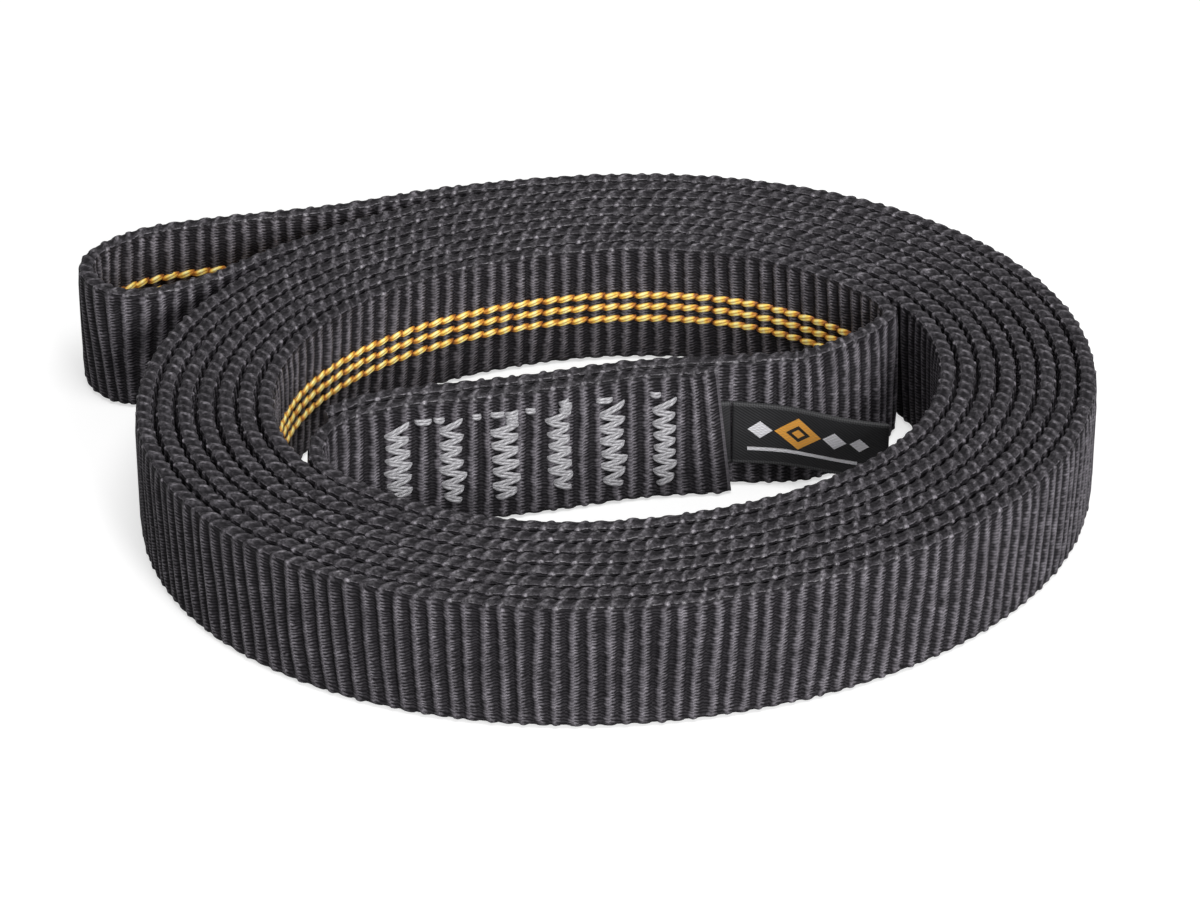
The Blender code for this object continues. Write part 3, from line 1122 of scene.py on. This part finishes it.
def label_piece(name, path, arcs, material, body, node, start):
    """The doubled tape along a path, its two layers parted by a groove at the edges."""
    half = label_thickness / 2 - label_clearance
    tall = (label_top - label_bottom) / 2
    angles = np.arange(label_sides) * math.tau / label_sides
    flat = np.sign(np.cos(angles)) * np.minimum(np.abs(np.cos(angles)) * label_edge_sharpness, 1)
    groove = np.abs(np.cos(angles)) < 0.02
    rise = np.sign(np.sin(angles)) * np.abs(np.sin(angles)) ** label_edge_power
    rise = rise * (1 - label_groove_share * groove)
    arcs = np.array(arcs)

    def place(plain):
        station = np.rint(plain[:, 2]).astype(int)
        step = np.rint(np.arctan2(plain[:, 1], plain[:, 0]) / math.tau * label_sides).astype(int)
        step = step % label_sides
        close = np.sqrt(np.clip((arcs[-1] - arcs[station]) / label_fold, label_thin_share, 1))
        close = close * np.sqrt(np.clip((arcs[station] - arcs[0]) / label_seam, label_thin_share, 1))
        depths = path.middle + half * flat[step] * close
        heights = (label_bottom + label_top) / 2 + tall * rise[step]
        points = path.route.solid_points(arcs[station], depths, heights)
        front = (flat[step] * path.front > 0.5).astype(float)
        cloth = np.stack([start + arcs[station], heights, front], axis=-1)
        return points, {"cloth": cloth}

    tube = straight_tube(label_sides, len(arcs))
    piece = finished_piece(name, tube, place, material, body)
    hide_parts(node)
    return piece


class LabelPath:
    """What a part of the label follows: a route, its depth there, and the side that the lozenges face."""

    def __init__(self, route, middle, front):
        self.route = route
        self.middle = middle
        self.front = front


def make_label(material):
    """The label's free part on its own route, and its sewn-in part between the lap's layers."""
    foot = route.solid_points(-hinge_setback, lap_middle, 0.0)
    _, lap_direction = route.place(np.array(0.0))
    heading = math.atan2(-lap_direction[1], -lap_direction[0])
    step = label_length / len(label_flap_shares)
    points = [foot[:2]]
    leans = [-lap_lean]
    for turn_share, lean_share in label_flap_shares:
        way = heading - turn_share * label_turn
        points.append(points[-1] + step * np.array([math.cos(way), math.sin(way)]))
        leans.append(-lean_share * lap_lean)
    flap = LabelPath(Route(points, leans), 0, -1)
    closing = np.array(label_closing)
    arcs = np.linspace(flap_start, label_length - label_fold, flap_stations)
    arcs = [*closing, *arcs, *(label_length - closing[::-1] * 2)]
    label_piece("label_flap_tape", flap, arcs, material, "label", "label_flap", 0)
    tab = LabelPath(route, lap_middle, 1)
    arcs = np.linspace(tab_start - hinge_setback, label_tab_length, tab_stations)
    arcs = [*(closing - hinge_setback), *arcs]
    label_piece("label_tab_tape", tab, arcs, material, "sling", "label_tab", tab_cloth_start)


# Floor, light and view


def plain_grey(value):
    return value, value, value, 1


def make_floor():
    """A plain pale floor that keeps the sling's shadow."""
    mesh = bmesh.new()
    bmesh.ops.create_grid(mesh, x_segments=1, y_segments=1, size=3)
    bmesh.ops.translate(mesh, verts=mesh.verts[:], vec=(0, 0, -floor_drop))
    data = bpy.data.meshes.new("floor")
    mesh.to_mesh(data)
    mesh.free()
    made, surface, wire = blank_material("pale_floor", Roughness=0.9, Specular_IOR_Level=0.0)
    surface.inputs["Base Color"].default_value = plain_grey(floor_lit_grey)
    glow = wire.node("ShaderNodeEmission", None, {"Strength": floor_glow})
    plain = wire.node("ShaderNodeBsdfDiffuse", None, {"Color": plain_grey(floor_seen_grey)})
    both = wire.node("ShaderNodeAddShader", None, {0: plain, 1: glow})
    rays = wire.node("ShaderNodeLightPath", out="Is Camera Ray")
    mixed = wire.node("ShaderNodeMixShader", None, {0: rays, 1: Wire(wire.tree, surface.outputs[0]), 2: both})
    output = next(node for node in wire.tree.nodes if node.type == "OUTPUT_MATERIAL")
    wire.tree.links.new(mixed.socket, output.inputs["Surface"])
    data.materials.append(made)
    floor = bpy.data.objects.new("floor", data)
    bpy.context.collection.objects.link(floor)


def make_world():
    """A white background, which lights the sling more weakly than it shows."""
    world = bpy.data.worlds.new("soft_room")
    world.use_nodes = True
    tree = world.node_tree
    wire = Wire(tree)
    lit = wire.node("ShaderNodeBackground", None, {"Color": plain_grey(1), "Strength": room_strength})
    seen = wire.node("ShaderNodeBackground", None, {"Color": plain_grey(1), "Strength": 1.0})
    rays = wire.node("ShaderNodeLightPath", out="Is Camera Ray")
    mixed = wire.node("ShaderNodeMixShader", None, {0: rays, 1: lit, 2: seen})
    tree.links.new(mixed.socket, tree.nodes["World Output"].inputs["Surface"])
    bpy.context.scene.world = world


def make_lamp(name, place, size, power):
    """A round, soft lamp that faces the sling."""
    lamp = bpy.data.lights.new(name, "AREA")
    lamp.shape = "DISK"
    lamp.size = size
    lamp.energy = power
    made = bpy.data.objects.new(name, lamp)
    made.location = place
    made.rotation_euler = (-Vector(place)).to_track_quat("-Z", "Y").to_euler()
    bpy.context.collection.objects.link(made)


def make_camera():
    """A camera that sees the sling from the photograph's side."""
    camera = bpy.data.objects.new("camera", bpy.data.cameras.new("camera"))
    camera.data.lens = view_lens
    camera.data.sensor_width = 36
    camera.data.clip_start = 0.01
    away = Vector((0, -math.cos(view_elevation), math.sin(view_elevation)))
    camera.location = view_aim + away * view_distance
    camera.rotation_euler = (-away).to_track_quat("-Z", "Y").to_euler()
    bpy.context.collection.objects.link(camera)
    bpy.context.scene.camera = camera


def main():
    bpy.context.scene.view_settings.view_transform = "Standard"
    make_camera()
    make_world()
    make_floor()
    for lamp in lamps:
        make_lamp(*lamp)

    weave = Weave()
    runs = make_webbing(weave, webbing_material(), tracer_material())
    make_sewing(thread_material())
    make_label(label_material())


main()
